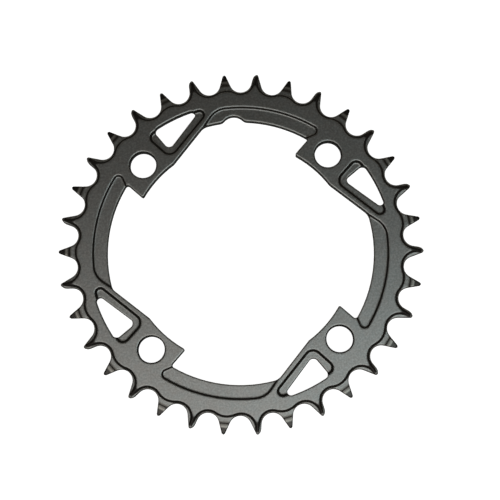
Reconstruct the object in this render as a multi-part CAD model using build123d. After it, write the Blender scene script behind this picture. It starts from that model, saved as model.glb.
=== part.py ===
"""Bicycle chainring: one flat ring with narrow and wide teeth in turn.

The ring lies flat, front face up (+Z), back face on z = 0, axis on Z.
The four bolt holes stand at 45 degrees to X and Y.
"""
import os
from math import atan2, cos, degrees, radians, sin, sqrt, tan

from build123d import *

# Teeth and chain
TEETH = 34
PITCH = 12.7
SEAT_RADIUS = 4.42
TIP_HEIGHT = 3.2
WIDE_TOOTH_ANGLE = -3.15

# Flank angles from the tooth axis, in degrees
NARROW_LEAN = 19.0
WIDE_LEAN_GENTLE = 20.5
WIDE_LEAN_STEEP = 9.0
WIDE_TIP_RADIUS = 0.6
WIDE_SHOULDER_RADIUS = 2.6
TIP_FLATS = 2

# Thicknesses
THICKNESS = 3.9
PLATE_THICKNESS = 2.1
NARROW_STEP = 0.3

# Relief around the teeth, measured from the pitch circle
RELIEF_STEEP_RADIUS = 4.85
RELIEF_STEEP_LEAN = 15.0
RELIEF_GENTLE_RADIUS = 5.45
RELIEF_GENTLE_SIDE = 0.29
RELIEF_GENTLE_RISE = 0.72
BULGE_DROP = 3.37
NARROW_STEP_DROP = 1.35
NARROW_BEVEL_RISE = 0.4
NARROW_TIP_THICKNESS = 0.7
WIDE_BEVEL_DROP = 0.5
WIDE_BEVEL_ANGLE = 16.0

# Ring body
RIM_DROP = 16.2

# Bolt holes
BOLT_CIRCLE = 104.0
BOLT_HOLES = 4
BOLT_HOLE = 10.4
BOLT_CHAMFER = 0.4

# Tabs that carry the bolt holes, measured from the hole centre
TAB_DEPTH = 7.72
TAB_WIDTH = 9.75
TAB_END_LEAN = 1.0
TAB_HEEL = 8.6
TAB_SPIKE_RADIUS = 0.6
TAB_ROOT_RADIUS = 1.0
TAB_JOIN_DROP = 7.5
SPOKE_LEAN = 4.0
SPOKE_ROOT_RADIUS = 5.0

# Shallow pockets in the front face
POCKET_DEPTH = 0.7
POCKET_DROP = 10.4
POCKET_END_SHIFT = 10.1
POCKET_END_LEAN = 25.0
POCKET_END_RADIUS = 2.2
POCKET_RUN_LEAN = 8.7
POCKET_RUN_RADIUS = 8.5

# Windows
WINDOW_DROP = 8.75
WINDOW_SIDE = 11.6
WINDOW_FLOOR = 3.5
WINDOW_LEANS = (8.0, 5.2)
WINDOW_RADII = (2.0, 2.0, 1.5)
LEDGE_DEPTH = 0.95
LEDGE_DROP = 9.15
LEDGE_SIDE_WIDTH = 2.6
LEDGE_FLOOR_WIDTH = 3.1
LEDGE_LEANS = (0.0, 3.3)
LEDGE_RADII = (2.9, 3.8, 2.3)
CORNER_SHARE = 0.285

# Scoop in the inner rim
SCOOP_GAP = 12.2
SCOOP_RADIUS = 5.0
SCOOP_DEPTH = 2.2
SCOOP_SHOULDER = 3.0

# How far cuts run past the part
OVERRUN = 4.0

# Derived sizes
half = 180.0 / TEETH
pitch_radius = PITCH / 2 / sin(radians(half))
tip_radius = pitch_radius + TIP_HEIGHT
join_radius = pitch_radius - TAB_JOIN_DROP
rim_radius = pitch_radius - RIM_DROP
bolt_radius = BOLT_CIRCLE / 2
relief = (THICKNESS - PLATE_THICKNESS) / 2
plate_top = THICKNESS - relief
middle = Plane.XY.offset(THICKNESS / 2)


def turned(point, angle):
    """Turn a point about the axis of the ring."""
    a = radians(angle)
    return Vector(point.X * cos(a) - point.Y * sin(a), point.X * sin(a) + point.Y * cos(a))


def around(centre, start, end):
    """Short arc about a centre from start to end."""
    middle_way = ((start - centre) + (end - centre)).normalized() * (start - centre).length
    return ThreePointArc(start, centre + middle_way, end)


def closed(edges):
    """Flat face inside a closed run of edges, facing up."""
    face = Face(Wire(edges))
    return face if face.normal_at().Z > 0 else -face


def flank(side, lean):
    """Normal, foot on the seat and distance from the axis of one tooth flank."""
    normal = Vector(side * cos(radians(lean)), sin(radians(lean)))
    seat = Vector(side * pitch_radius * sin(radians(half)), pitch_radius * cos(radians(half)))
    return normal, seat - normal * SEAT_RADIUS, normal.dot(seat) - SEAT_RADIUS


def flats(centre, radius, first, last):
    """Corners of the flats that round an edge about a centre, from one direction to another."""
    return [centre + Vector(1, 0).rotate(Axis.Z, first + (last - first) * i / TIP_FLATS) * radius
            for i in range(TIP_FLATS + 1)]


def direction(vector):
    """Angle of a vector from +X, in degrees."""
    return degrees(atan2(vector.Y, vector.X))


def wide_tooth():
    """Corners of a wide tooth standing on +Y, from its left seat to its right seat."""
    normal_l, foot_l, reach_l = flank(-1, WIDE_LEAN_STEEP)
    normal_r, foot_r, reach_r = flank(1, WIDE_LEAN_GENTLE)
    tip_y = tip_radius - WIDE_TIP_RADIUS
    tip_x = (reach_r - WIDE_TIP_RADIUS - normal_r.Y * tip_y) / normal_r.X
    tip = Vector(tip_x, tip_y)
    gap = reach_l - WIDE_SHOULDER_RADIUS - normal_l.dot(tip)
    along = Vector(normal_l.Y, -normal_l.X)
    fall = sqrt((WIDE_SHOULDER_RADIUS - WIDE_TIP_RADIUS) ** 2 - gap ** 2)
    shoulder = tip + normal_l * gap - along * fall
    joint = direction(tip - shoulder)
    points = [foot_l] + flats(shoulder, WIDE_SHOULDER_RADIUS, direction(normal_l), joint)
    return points + flats(tip, WIDE_TIP_RADIUS, joint, direction(normal_r))[1:] + [foot_r]


def narrow_tooth():
    """Corners of a narrow tooth standing on +Y, from its left seat to its right seat."""
    normal_r, foot_r, reach = flank(1, NARROW_LEAN)
    normal_l, foot_l, reach = flank(-1, NARROW_LEAN)
    radius = (reach - tip_radius * normal_r.Y) / (1 - normal_r.Y)
    tip = Vector(0, tip_radius - radius)
    return [foot_l] + flats(tip, radius, direction(normal_l), direction(normal_r)) + [foot_r]


def seat_point(step, radius):
    """Point on the line through a seat, counted in half teeth from the wide tooth."""
    return turned(Vector(0, radius), step * half)


def toothed():
    """Flat shape inside the outline of all teeth, the first wide tooth on +Y."""
    edges = []
    for i in range(TEETH // 2):
        start = -4 * half * i
        wide = [turned(p, start) for p in wide_tooth()]
        narrow = [turned(p, start - 2 * half) for p in narrow_tooth()]
        after = turned(wide_tooth()[0], start - 4 * half)
        for points, step, end in [(wide, -1, narrow[0]), (narrow, -3, after)]:
            edges += [Line(a, b) for a, b in zip(points, points[1:])]
            edges += [around(turned(seat_point(step, pitch_radius), start), points[-1], end)]
    return closed(edges)


def bulge(centre, radius, grow):
    """Centre and joint of the arc that carries the relief over the narrow tooth."""
    top = pitch_radius - BULGE_DROP
    rise = centre.Y - top
    size = (centre.X ** 2 + rise ** 2 - radius ** 2) / 2 / (radius - rise)
    middle_point = Vector(0, top - size)
    joint = middle_point + (centre - middle_point).normalized() * (size - grow)
    return middle_point, joint


def relief_outline():
    """Edge on the front face of the relief between two wide teeth."""
    grow = relief
    gentle = seat_point(-1, pitch_radius) + Vector(-RELIEF_GENTLE_SIDE, RELIEF_GENTLE_RISE)
    steep = seat_point(-3, pitch_radius)
    left_x = gentle.X - RELIEF_GENTLE_RADIUS - grow
    start = Vector(left_x, tip_radius + OVERRUN)
    turn = Vector(left_x, gentle.Y)
    mid_l, joint_l = bulge(turned(gentle, 2 * half), RELIEF_GENTLE_RADIUS, grow)
    mid_r, joint_r = bulge(turned(steep, 2 * half), RELIEF_STEEP_RADIUS, grow)
    crown = Vector(0, pitch_radius - BULGE_DROP - grow)
    mid_l, joint_l, mid_r, joint_r, crown = [
        turned(p, -2 * half) for p in (mid_l, joint_l, mid_r, joint_r, crown)
    ]
    normal = Vector(-cos(radians(RELIEF_STEEP_LEAN)), sin(radians(RELIEF_STEEP_LEAN)))
    normal = turned(normal, -4 * half)
    upward = Vector(normal.Y, -normal.X)
    foot = steep - normal * (RELIEF_STEEP_RADIUS + grow)
    end = foot + upward * 2 * OVERRUN
    edges = [Line(start, turn), around(gentle, turn, joint_l), around(mid_l, joint_l, crown)]
    edges += [around(mid_r, crown, joint_r), around(steep, joint_r, foot), Line(foot, end)]
    return closed(edges + [Line(end, start)])


def sunk(outline, depth):
    """Cut from the front face inside a flat outline, with walls at 45 degrees."""
    cut = extrude(Pos(0, 0, THICKNESS - depth) * outline, 2 * depth, dir=(0, 0, 1))
    return chamfer(cut.faces().sort_by(Axis.Z)[0].edges(), depth)


def across_tooth(points, step):
    """Cut straight across one tooth through points in radius and height."""
    profile = Plane.YZ * make_face(Polyline(*points, close=True))
    return Rot(0, 0, step * half) * extrude(profile, PITCH / 3, both=True)


def tooth_cuts():
    """Cuts beside and on one wide and one narrow tooth, on both faces."""
    over = tip_radius + OVERRUN
    high = THICKNESS + OVERRUN
    step_r = pitch_radius - NARROW_STEP_DROP
    step_z = plate_top - NARROW_STEP
    bevel_r = pitch_radius + NARROW_BEVEL_RISE
    tip_z = (THICKNESS + NARROW_TIP_THICKNESS) / 2
    end_z = tip_z - (step_z - tip_z) * OVERRUN / (tip_radius - bevel_r)
    narrow = [(step_r, plate_top), (step_r + NARROW_STEP, step_z), (bevel_r, step_z)]
    narrow += [(over, end_z), (over, high), (step_r, high)]
    slope_r = pitch_radius - WIDE_BEVEL_DROP
    slope_z = THICKNESS - (over - slope_r) * tan(radians(WIDE_BEVEL_ANGLE))
    wide = [(slope_r, THICKNESS), (over, slope_z), (over, high), (slope_r, high)]
    cuts = [sunk(relief_outline(), relief), across_tooth(narrow, -2), across_tooth(wide, 0)]
    return cuts + [mirror(cut, about=middle) for cut in cuts]


def met(point, ray, radius):
    """Where a ray from inside a circle about the axis meets it."""
    way = ray.normalized()
    along = point.dot(way)
    return point + way * (sqrt(along ** 2 - point.dot(point) + radius ** 2) - along)


def closed_arc(points, radius):
    """Flat shape whose last side, from the last point to the first, is an arc about the axis."""
    top = (points[0] + points[-1]).normalized() * radius
    edges = [Line(a, b) for a, b in zip(points, points[1:])]
    return closed(edges + [ThreePointArc(points[-1], top, points[0])])


def rounded(shape, corners):
    """Round the corners of a flat shape, each given by a point near it and a radius."""
    for point, radius in corners:
        shape = fillet(shape.vertices().sort_by_distance(point)[0], radius)
    return shape


def all_round(shape):
    """One copy of a shape for each bolt hole, the first one turned from +X to 45 degrees."""
    return [Rot(0, 0, 45 + 360 / BOLT_HOLES * i) * shape for i in range(BOLT_HOLES)]


# Corners of the tab on +X, seen from the axis outward: its spike, heel and roots
tab_radius = bolt_radius - TAB_DEPTH
spike = Vector(sqrt(tab_radius ** 2 - TAB_WIDTH ** 2), TAB_WIDTH)
heel = Vector(sqrt(tab_radius ** 2 - TAB_HEEL ** 2), -TAB_HEEL)
end_way = Vector(1, tan(radians(TAB_END_LEAN)))
spoke_way = Vector(tan(radians(SPOKE_LEAN)), -1)
tab_root = met(spike, end_way, rim_radius)
spoke_root = met(heel, spoke_way, rim_radius)


def tab():
    """Flat shape of the tab and spoke for the bolt hole on +X."""
    outer = [met(heel, spoke_way, join_radius), met(spike, end_way, join_radius)]
    edges = [Line(outer[1], spike), ThreePointArc(spike, Vector(tab_radius, 0), heel)]
    edges += [Line(heel, outer[0]), ThreePointArc(outer[0], Vector(join_radius, 0), outer[1])]
    return closed(edges)


def opening():
    """Flat shape of the open middle, with the tabs standing in it and the scoop."""
    shape = Circle(rim_radius) - all_round(tab())
    corners = []
    for i in range(BOLT_HOLES):
        for point, radius in [(tab_root, TAB_ROOT_RADIUS), (spike, TAB_SPIKE_RADIUS),
                              (spoke_root, SPOKE_ROOT_RADIUS)]:
            corners.append((turned(point, 45 + 360 / BOLT_HOLES * i), radius))
    shape = rounded(shape, corners)
    scoop_y = rim_radius + SCOOP_DEPTH - SCOOP_RADIUS
    scoop = Pos(0, scoop_y) * Circle(SCOOP_RADIUS)
    scoop_turn = 45 + direction(spoke_root) - degrees(SCOOP_GAP / rim_radius)
    shape += Rot(0, 0, scoop_turn) * scoop
    side_y = (rim_radius ** 2 + scoop_y ** 2 - SCOOP_RADIUS ** 2) / 2 / scoop_y
    side_x = sqrt(rim_radius ** 2 - side_y ** 2)
    sides = [turned(Vector(x, side_y), scoop_turn) for x in (side_x, -side_x)]
    return rounded(shape, [(side, SCOOP_SHOULDER) for side in sides])


def pocket():
    """Outline of the pocket from the tab on +X round to the spoke of the next one."""
    outer_radius = pitch_radius - POCKET_DROP
    way = Vector(1, -tan(radians(POCKET_END_LEAN))).normalized()
    end = Vector(bolt_radius, POCKET_END_SHIFT)
    start = met(end, way, outer_radius)
    run_way = Vector(tan(radians(POCKET_RUN_LEAN)), -1).normalized()
    turn = 360 / BOLT_HOLES
    run = turned(met(spoke_root, run_way, outer_radius), turn)
    tail = turned(spoke_root - run_way * TAB_DEPTH, turn)
    shape = closed_arc([start, end - way * TAB_DEPTH, tail, run], outer_radius)
    return rounded(shape, [(start, POCKET_END_RADIUS), (run, POCKET_RUN_RADIUS)])


def triangle(outer_radius, side, floor, leans, radii):
    """Triangle against an outer arc, beside the tab on +X, its corner radii limited by its side."""
    corner = Vector(bolt_radius - floor, -side)
    top = met(corner, Vector(1, -tan(radians(leans[0]))), outer_radius)
    tail = met(corner, Vector(tan(radians(leans[1])), -1), outer_radius)
    limit = (top - corner).length * CORNER_SHARE
    points = (top, corner, tail)
    corners = [(point, min(radius, limit)) for point, radius in zip(points, radii)]
    return rounded(closed_arc(points, outer_radius), corners)


def bolt_hole():
    """Bolt hole on +X with a chamfer at both faces."""
    size = BOLT_HOLE / 2
    wide = size + BOLT_CHAMFER
    high = THICKNESS - BOLT_CHAMFER
    outline = [(0, 0), (wide, 0), (size, BOLT_CHAMFER), (size, high), (wide, THICKNESS)]
    profile = make_face(Polyline(*outline, (0, THICKNESS), close=True))
    return Pos(bolt_radius, 0, 0) * revolve(Plane.XZ * profile, Axis.Z)


window = triangle(pitch_radius - WINDOW_DROP, WINDOW_SIDE, WINDOW_FLOOR, WINDOW_LEANS,
                  WINDOW_RADII)
ledge = triangle(pitch_radius - LEDGE_DROP, WINDOW_SIDE - LEDGE_SIDE_WIDTH,
                 WINDOW_FLOOR + LEDGE_FLOOR_WIDTH, LEDGE_LEANS, LEDGE_RADII)
tools = all_round(extrude(window, THICKNESS)) + all_round(sunk(ledge, LEDGE_DEPTH))
tools += all_round(sunk(pocket(), POCKET_DEPTH)) + all_round(bolt_hole())
first = WIDE_TOOTH_ANGLE - 90
for i in range(TEETH // 2):
    tools += [Rot(0, 0, first + 4 * half * i) * cut for cut in tooth_cuts()]
outline = Rot(0, 0, first) * toothed() - opening()
chainring = extrude(outline, THICKNESS) - tools

os.makedirs("parts", exist_ok=True)
export_step(chainring, "parts/chainring.step")
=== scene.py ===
"""Looks of the chainring: dark satin anodised aluminium, lying on a pale floor under soft studio light."""
from math import cos, pi, radians, sin

import bpy
from mathutils import Matrix, Vector

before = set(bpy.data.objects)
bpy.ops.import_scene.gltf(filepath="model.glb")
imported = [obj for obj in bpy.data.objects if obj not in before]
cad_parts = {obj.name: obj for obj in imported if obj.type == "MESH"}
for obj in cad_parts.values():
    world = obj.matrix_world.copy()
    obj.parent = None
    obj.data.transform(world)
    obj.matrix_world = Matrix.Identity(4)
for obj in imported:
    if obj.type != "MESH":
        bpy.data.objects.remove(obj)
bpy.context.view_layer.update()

# Ring, in metres and degrees
TEETH = 34
WIDE_TOOTH_ANGLE = -3.15
THICKNESS = 0.0039
EDGE_RADIUS = 0.0009

# Where a look begins and where it is full: radii and heights on the ring, in metres
NARROW_TOOTH_RADII = (0.0666, 0.0669)
CREST_RADII = (0.0664, 0.0677)
CREST_HEIGHTS = (0.00302, 0.0032)
# The painted highlight on rounded edges fades out between these radii
UNHIGHLIGHTED_RADII = (0.0655, 0.0668)

# Where a look begins and where it is full: share of a face's normal that points up or down
STEEP_TO_LEVEL = (0.75, 0.92)
UPRIGHT_TO_STEEP = (0.25, 0.5)
ROUNDED_TO_LEVEL = (0.95, 0.995)
SIDE_TO_LEVEL = (0.72, 0.88)

# Where a narrow tooth ends beside a wide one, as a share of the step between wide teeth
NARROW_TOOTH_SHARE = (0.2, 0.24)

# Coating: waves per metre of its grain and clouds, its colours and how much each one covers
GRAIN_SCALE = 1300
CLOUD_SCALE = 60
MOTTLE_SCALE = 420
CLOUD_COLOURS = ((0.110, 0.107, 0.101), (0.136, 0.132, 0.125))
MOTTLE_COLOUR, MOTTLE_COVER = (0.120, 0.127, 0.124), 0.5
GRAIN_COLOUR, GRAIN_COVER = (0.24, 0.237, 0.229), 0.45
# Painted shade on slanted milled walls and wide-tooth crests
PAINTED_SHADE_COLOUR = (0.020, 0.018, 0.017)
# Painted highlight on rounded edges
EDGE_HIGHLIGHT_COLOUR, EDGE_HIGHLIGHT_COVER = (0.34, 0.34, 0.325), 0.2
# Painted shade on upright sides and edge bands
SIDE_SHADE_COLOUR, SIDE_SHADE_COVER = (0.015, 0.015, 0.014), 0.95

# Painted light and shade on the narrow teeth, from the milled step to the tip: place along the tooth and
# colour
TOOTH_LIGHT_AND_SHADE = (
    (0.00, (0.110, 0.105, 0.096)),
    (0.05, (0.110, 0.105, 0.096)),
    (0.11, (0.060, 0.057, 0.052)),
    (0.18, (0.038, 0.036, 0.033)),
    (0.24, (0.055, 0.052, 0.048)),
    (0.30, (0.090, 0.085, 0.077)),
    (0.36, (0.140, 0.133, 0.120)),
    (0.43, (0.165, 0.157, 0.142)),
    (0.49, (0.060, 0.057, 0.052)),
    (0.55, (0.030, 0.028, 0.026)),
    (0.70, (0.034, 0.032, 0.030)),
    (1.00, (0.014, 0.013, 0.013)),
)
TOOTH_LIGHT_AND_SHADE_START = 0.066725
TOOTH_LIGHT_AND_SHADE_LENGTH = 0.0056
TOOTH_LIGHT_AND_SHADE_WOBBLE = 0.00025
WOBBLE_SCALE = 700

# Finish: roughness of the coating, what grain and side walls add to it, and the relief of the grain
ROUGHNESS = 0.25
GRAIN_ROUGHNESS = 0.10
SIDE_ROUGHNESS = 0.5
BUMP_STRENGTH = 0.25
BUMP_DEPTH = 0.00005
GRAZING_TINT = (0.5, 0.5, 0.5, 1)

# Floor
FLOOR_SIZE = 16.0
FLOOR_DROP = 0.0001
FLOOR_PALE = (0.8, 0.8, 0.8, 1)
FLOOR_SHADE = (0.3, 0.3, 0.3, 1)
FLOOR_GLOW = 0.95

# Surroundings: colour, level overhead, and where the horizon and its low band fade out upwards
SKY_COLOUR = (1, 0.93, 0.80, 1)
SKY_LEVEL = 0.11
HORIZON_HEIGHTS = (0.25, 0.75)
CAMERA_SIDE = (-0.3, 0.6)
BAND_HEIGHTS = (0.35, 0.55)
BAND_LEVEL = 0.8

# Lamps: name, azimuth, elevation, distance, size, power, colour
LAMPS = (
    ("overhead", 0, 75.0, 1.0, (1.0, 0.70), 5.2, (1.0, 0.995, 0.98)),
    ("cool_right", 60, 74, 1.0, (0.35, 0.35), 0.55, (0.45, 0.88, 1.0)),
    ("low_front", 0, 38, 1.2, (1.4, 0.15), 0.9, (1, 1, 1)),
)

# Camera
LENS = 105.39
DISTANCE = 0.5775
TILT = 9.06
AZIMUTH = 5.08
ROLL = 3.11
SHIFT = (0.01902, 0.00334)
SENSOR_WIDTH = 36.0
CLIP = (0.01, 10.0)


def node(tree, kind, inputs=(), **settings):
    """Add a shader node, set its options and wire or set its inputs."""
    made = tree.nodes.new(kind)
    for name, value in settings.items():
        setattr(made, name, value)
    for key, value in dict(inputs).items():
        put(tree, made.inputs[key], value)
    return made


def put(tree, socket, value):
    """Wire a socket to another one, or set its value."""
    if isinstance(value, bpy.types.NodeSocket):
        tree.links.new(value, socket)
    else:
        socket.default_value = value


def maths(tree, operation, *values):
    """Result of one maths node."""
    made = tree.nodes.new("ShaderNodeMath")
    made.operation = operation
    for i, value in enumerate(values):
        put(tree, made.inputs[i], value)
    return made.outputs[0]


def rise(tree, value, span):
    """Smooth step of a value from 0 at the span's start to 1 at its end."""
    low, high = span
    made = node(tree, "ShaderNodeMapRange", {0: value, 1: low, 2: high}, interpolation_type="SMOOTHSTEP")
    return made.outputs[0]


def fall(tree, value, span):
    """Smooth step of a value from 1 at the span's start to 0 at its end."""
    return maths(tree, "SUBTRACT", 1.0, rise(tree, value, span))


def ramp(tree, value, stops):
    """Colour ramp through a list of places and colours."""
    made = node(tree, "ShaderNodeValToRGB", {0: value})
    while len(made.color_ramp.elements) < len(stops):
        made.color_ramp.elements.new(0.5)
    for element, (place, colour) in zip(made.color_ramp.elements, stops):
        element.position = place
        element.color = (*colour, 1)
    return made.outputs[0]


def mixed(tree, factor, first, second):
    """Two colours mixed by a factor."""
    made = node(tree, "ShaderNodeMix", data_type="RGBA")
    put(tree, made.inputs["Factor"], factor)
    for socket, value in ((made.inputs[6], first), (made.inputs[7], second)):
        put(tree, socket, value if isinstance(value, bpy.types.NodeSocket) else (*value, 1))
    return made.outputs[2]


def noise(tree, place, scale, detail=2.0, rough=0.5):
    """Noise at so many waves per metre."""
    inputs = {"Vector": place, "Scale": scale, "Detail": detail, "Roughness": rough}
    return node(tree, "ShaderNodeTexNoise", inputs).outputs[0]


def new_material(name):
    """Material with an empty node tree."""
    made = bpy.data.materials.new(name)
    made.use_nodes = True
    made.node_tree.nodes.clear()
    return made, made.node_tree


def coating(tree, place, grain):
    """Colour of the anodised faces: clouds, faint mottling and paler grain."""
    cloud = noise(tree, place, CLOUD_SCALE)
    mottle = rise(tree, noise(tree, place, MOTTLE_SCALE), (0.35, 0.65))
    base = mixed(tree, cloud, *CLOUD_COLOURS)
    base = mixed(tree, maths(tree, "MULTIPLY", mottle, MOTTLE_COVER), base, MOTTLE_COLOUR)
    specks = rise(tree, grain, (0.35, 0.75))
    return mixed(tree, maths(tree, "MULTIPLY", specks, GRAIN_COVER), base, GRAIN_COLOUR)


def narrow_teeth(tree, x, y, radius):
    """1 on the narrow teeth and 0 elsewhere, by the angle from the nearest narrow tooth."""
    step = 4 * pi / TEETH
    first = radians(WIDE_TOOTH_ANGLE) + step / 2
    angle = maths(tree, "ARCTAN2", y, x)
    turns = maths(tree, "DIVIDE", maths(tree, "SUBTRACT", angle, first), step)
    share = maths(tree, "ABSOLUTE", maths(tree, "WRAP", turns, 0.5, -0.5))
    beside = fall(tree, share, NARROW_TOOTH_SHARE)
    return maths(tree, "MULTIPLY", beside, rise(tree, radius, NARROW_TOOTH_RADII))


def tooth_light_and_shade(tree, place, radius):
    """Painted light and shade of the narrow teeth: a painted highlight band, then painted shade towards the
    tip.
    """
    wobble = maths(tree, "MULTIPLY", noise(tree, place, WOBBLE_SCALE), TOOTH_LIGHT_AND_SHADE_WOBBLE)
    wavy = maths(tree, "ADD", radius, wobble)
    along = maths(tree, "DIVIDE", maths(tree, "SUBTRACT", wavy, TOOTH_LIGHT_AND_SHADE_START), TOOTH_LIGHT_AND_SHADE_LENGTH)
    return ramp(tree, along, TOOTH_LIGHT_AND_SHADE)


def steepness(tree, normal):
    """Share of a normal that points up or down: 1 on level faces and 0 on upright ones."""
    return maths(tree, "ABSOLUTE", node(tree, "ShaderNodeSeparateXYZ", {0: normal}).outputs[2])


def anodised():
    """Dark satin anodised aluminium with fine grain, painted shade on milled walls, crests and upright
    sides, a painted highlight on rounded edges and painted light and shade on the narrow teeth.
    """
    made, tree = new_material("anodised_aluminium")
    place = node(tree, "ShaderNodeTexCoord").outputs["Object"]
    x, y, z = node(tree, "ShaderNodeSeparateXYZ", {0: place}).outputs
    squares = [maths(tree, "MULTIPLY", value, value) for value in (x, y)]
    radius = maths(tree, "SQRT", maths(tree, "ADD", *squares))
    flat = node(tree, "ShaderNodeNewGeometry").outputs["True Normal"]
    rounded = node(tree, "ShaderNodeBevel", {"Radius": EDGE_RADIUS}, samples=8).outputs[0]
    flat_z, rounded_z = steepness(tree, flat), steepness(tree, rounded)

    grain = noise(tree, place, GRAIN_SCALE, 3.0, 0.6)
    narrow = narrow_teeth(tree, x, y, radius)
    # Narrow teeth take their painted light and shade
    colour = mixed(tree, narrow, coating(tree, place, grain), tooth_light_and_shade(tree, place, radius))

    # Painted shade: milled walls at a slant and the crests of the wide teeth are painted near black,
    # standing in for the dark surroundings they reflect
    shaded_wall = maths(tree, "MULTIPLY", fall(tree, flat_z, STEEP_TO_LEVEL), rise(tree, flat_z, UPRIGHT_TO_STEEP))
    shaded_crest = maths(tree, "MULTIPLY", rise(tree, radius, CREST_RADII), rise(tree, z, CREST_HEIGHTS))
    dark = maths(tree, "MAXIMUM", shaded_wall, shaded_crest)
    colour = mixed(tree, dark, colour, PAINTED_SHADE_COLOUR)

    # Painted highlight: rounded edges are painted paler, but not on the teeth or where the painted shade
    # lies
    edge_highlight = maths(tree, "MULTIPLY", fall(tree, rounded_z, ROUNDED_TO_LEVEL), fall(tree, radius, UNHIGHLIGHTED_RADII))
    cover = maths(tree, "SUBTRACT", EDGE_HIGHLIGHT_COVER, maths(tree, "MULTIPLY", dark, EDGE_HIGHLIGHT_COVER))
    colour = mixed(tree, maths(tree, "MULTIPLY", edge_highlight, cover), colour, EDGE_HIGHLIGHT_COLOUR)

    # Painted shade: upright sides and the outer bands of rounded edges are painted near black, and they are
    # also duller
    side = fall(tree, rounded_z, SIDE_TO_LEVEL)
    colour = mixed(tree, maths(tree, "MULTIPLY", side, SIDE_SHADE_COVER), colour, SIDE_SHADE_COLOUR)
    rough = maths(tree, "ADD", ROUGHNESS, maths(tree, "MULTIPLY", grain, GRAIN_ROUGHNESS))
    rough = maths(tree, "ADD", rough, maths(tree, "MULTIPLY", side, SIDE_ROUGHNESS))

    bump = node(tree, "ShaderNodeBump", {
        "Height": grain, "Strength": BUMP_STRENGTH, "Distance": BUMP_DEPTH, "Normal": rounded,
    })
    surface = node(tree, "ShaderNodeBsdfPrincipled", {
        "Base Color": colour, "Metallic": 1.0, "Roughness": rough, "Normal": bump.outputs[0],
        "Specular Tint": GRAZING_TINT,
    })
    node(tree, "ShaderNodeOutputMaterial", {"Surface": surface.outputs[0]})
    return made


def floor_material():
    """Pale floor that shows white and still takes the ring's shadow."""
    made, tree = new_material("pale_floor")
    path = node(tree, "ShaderNodeLightPath").outputs
    mirrored = maths(tree, "MAXIMUM", path["Is Glossy Ray"], path["Is Transmission Ray"])
    seen = maths(tree, "MAXIMUM", path["Is Camera Ray"], mirrored)
    pale = node(tree, "ShaderNodeBsdfDiffuse", {"Color": FLOOR_PALE})
    shade = node(tree, "ShaderNodeBsdfDiffuse", {"Color": FLOOR_SHADE})
    glow = node(tree, "ShaderNodeEmission", {"Color": (1, 1, 1, 1), "Strength": FLOOR_GLOW})
    white = node(tree, "ShaderNodeAddShader", {0: shade.outputs[0], 1: glow.outputs[0]})
    both = node(tree, "ShaderNodeMixShader", {0: seen, 1: pale.outputs[0], 2: white.outputs[0]})
    node(tree, "ShaderNodeOutputMaterial", {"Surface": both.outputs[0]})
    return made


def add_floor():
    """Floor just under the ring, which is staging and not part of the object."""
    bpy.ops.mesh.primitive_plane_add(size=FLOOR_SIZE, location=(0, 0, -FLOOR_DROP))
    ground = bpy.context.active_object
    ground.name = "floor"
    ground.data.materials.append(floor_material())


def add_lamp(name, azimuth, elevation, distance, size, power, colour):
    """Soft oblong lamp aimed at the ring. Azimuth 0 stands on the camera's side, 90 on the right."""
    data = bpy.data.lights.new(name, "AREA")
    data.shape = "RECTANGLE"
    data.size, data.size_y = size
    data.energy = power
    data.color = colour
    lamp = bpy.data.objects.new(name, data)
    bpy.context.scene.collection.objects.link(lamp)
    a, e = radians(azimuth), radians(elevation)
    away = Vector((sin(a) * cos(e), -cos(a) * cos(e), sin(e)))
    lamp.location = away * distance
    lamp.rotation_mode = "QUATERNION"
    lamp.rotation_quaternion = (-away).to_track_quat("-Z", "Y")


def add_world():
    """Soft surroundings, dim overhead and paler towards the horizon, most of all on the camera's side."""
    world = bpy.data.worlds.new("studio")
    world.use_nodes = True
    tree = world.node_tree
    tree.nodes.clear()
    way = node(tree, "ShaderNodeTexCoord").outputs["Generated"]
    depth, height = node(tree, "ShaderNodeSeparateXYZ", {0: way}).outputs[1:]
    low = fall(tree, height, HORIZON_HEIGHTS)
    near = rise(tree, maths(tree, "MULTIPLY", depth, -1.0), CAMERA_SIDE)
    band = maths(tree, "MULTIPLY", BAND_LEVEL, fall(tree, height, BAND_HEIGHTS))
    pale = maths(tree, "MAXIMUM", maths(tree, "MULTIPLY", low, near), band)
    strength = maths(tree, "ADD", SKY_LEVEL, pale)
    sky = node(tree, "ShaderNodeBackground", {"Color": SKY_COLOUR, "Strength": strength})
    node(tree, "ShaderNodeOutputWorld", {"Surface": sky.outputs[0]})
    bpy.context.scene.world = world


def add_camera():
    """Camera looking down on the ring from the photograph's angle."""
    data = bpy.data.cameras.new("camera")
    data.lens = LENS
    data.sensor_width = SENSOR_WIDTH
    data.shift_x, data.shift_y = SHIFT
    data.clip_start, data.clip_end = CLIP
    camera = bpy.data.objects.new("camera", data)
    bpy.context.scene.collection.objects.link(camera)
    t, a, r = radians(TILT), radians(AZIMUTH), radians(ROLL)
    back = Vector((sin(a) * sin(t), -cos(a) * sin(t), cos(t)))
    top = Vector((sin(r), cos(r), 0))
    top = (top - back * top.dot(back)).normalized()
    right = top.cross(back)
    place = back * DISTANCE + Vector((0, 0, THICKNESS / 2))
    turn = Matrix((right, top, back)).transposed().to_4x4()
    camera.matrix_world = Matrix.Translation(place) @ turn
    bpy.context.scene.camera = camera


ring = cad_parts["chainring"]
ring.data.materials.clear()
ring.data.materials.append(anodised())

add_floor()
for lamp_values in LAMPS:
    add_lamp(*lamp_values)
add_world()
add_camera()
bpy.context.scene.view_settings.view_transform = "Standard"
